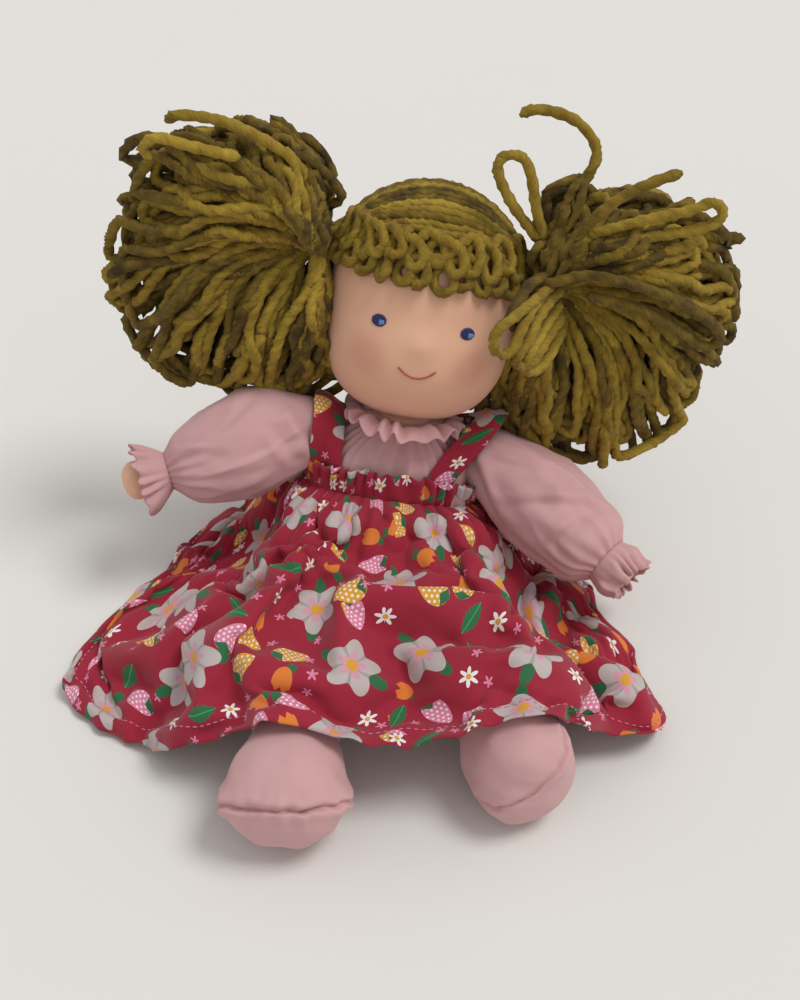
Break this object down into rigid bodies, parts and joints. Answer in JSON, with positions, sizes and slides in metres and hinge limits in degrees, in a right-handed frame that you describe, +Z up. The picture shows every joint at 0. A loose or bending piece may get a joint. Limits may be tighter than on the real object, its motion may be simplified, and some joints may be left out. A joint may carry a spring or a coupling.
{
  "type": "cloth doll",
  "caption": "Seated stuffed cloth doll with yarn pigtails, gathered pinafore dress, blouse, trousers and soft booties; head, pigtails, arms and legs swing.",
  "frame": {"origin": "on the flat of the seat, at floor level, below the middle of the torso", "axes": "+Z up; the doll faces -Y, so its own left is +X"},
  "size_m": [0.3117, 0.2782, 0.2238],
  "materials": {
    "skin": "matte cotton jersey",
    "pink_cotton": "matte woven cotton",
    "red_print": "matte printed cotton",
    "yarn": "matte wool yarn",
    "blue_thread": "satin embroidery thread",
    "mouth_thread": "satin embroidery thread",
    "wool_stuffing": "carded wool",
    "elastic": "round covered elastic"
  },
  "bodies": {
    "torso": {"torso": "wool_stuffing", "pants_seat": "pink_cotton", "blouse_body": "pink_cotton", "collar_ruffle": "pink_cotton", "neck_elastic": "elastic", "dress_elastic": "elastic", "dress_heading": "red_print", "skirt": "red_print", "strap_left": "red_print", "strap_right": "red_print"},
    "head": {"head_core": "wool_stuffing", "head_skin": "skin", "eye_left": "blue_thread", "eye_right": "blue_thread", "mouth": "mouth_thread", "neck_tie": "elastic", "hair_cap": "yarn", "hair_fringe": "yarn"},
    "pigtail_left": {"pigtail_left": "yarn", "hair_tie_left": "yarn"},
    "pigtail_right": {"pigtail_right": "yarn", "hair_tie_right": "yarn"},
    "arm_left": {"arm_left": "skin", "sleeve_left": "pink_cotton", "cuff_elastic_left": "elastic", "cuff_ruffle_left": "pink_cotton"},
    "leg_left": {"leg_left": "wool_stuffing", "pants_leg_left": "pink_cotton", "bootie_upper_left": "pink_cotton", "bootie_sole_left": "pink_cotton"},
    "arm_right": {"arm_right": "skin", "sleeve_right": "pink_cotton", "cuff_elastic_right": "elastic", "cuff_ruffle_right": "pink_cotton"},
    "leg_right": {"leg_right": "wool_stuffing", "pants_leg_right": "pink_cotton", "bootie_upper_right": "pink_cotton", "bootie_sole_right": "pink_cotton"}
  },
  "joints": [
    {"name": "neck_turn", "type": "hinge", "parent": "torso", "child": "head", "pos_m": [0.01363, 0.0164, 0.07972], "axis": [0.1586, 0.4067, 0.8997], "range_deg": [-10, 10]},
    {"name": "pigtail_lift_left", "type": "hinge", "parent": "head", "child": "pigtail_left", "pos_m": [0.07663, 0.04037, 0.14491], "axis": [0.019, -0.9123, 0.4091], "range_deg": [0, 26]},
    {"name": "pigtail_lift_right", "type": "hinge", "parent": "head", "child": "pigtail_right", "pos_m": [-0.02426, 0.04526, 0.16049], "axis": [-0.019, 0.9123, -0.4091], "range_deg": [0, 26]},
    {"name": "arm_swing_left", "type": "hinge", "parent": "torso", "child": "arm_left", "pos_m": [0.05231, 0.01459, 0.06057], "axis": [-0.658, 0.054, -0.751], "range_deg": [-40, 3]},
    {"name": "arm_swing_right", "type": "hinge", "parent": "torso", "child": "arm_right", "pos_m": [-0.02933, 0.01459, 0.07555], "axis": [0, 0, 1], "range_deg": [-35, 14]},
    {"name": "leg_swing_left", "type": "hinge", "parent": "torso", "child": "leg_left", "pos_m": [0.0235, -0.034, 0.0255], "axis": [1, 0, 0], "range_deg": [0, 80]},
    {"name": "leg_swing_right", "type": "hinge", "parent": "torso", "child": "leg_right", "pos_m": [-0.0255, -0.034, 0.0255], "axis": [1, 0, 0], "range_deg": [0, 80]}
  ]
}
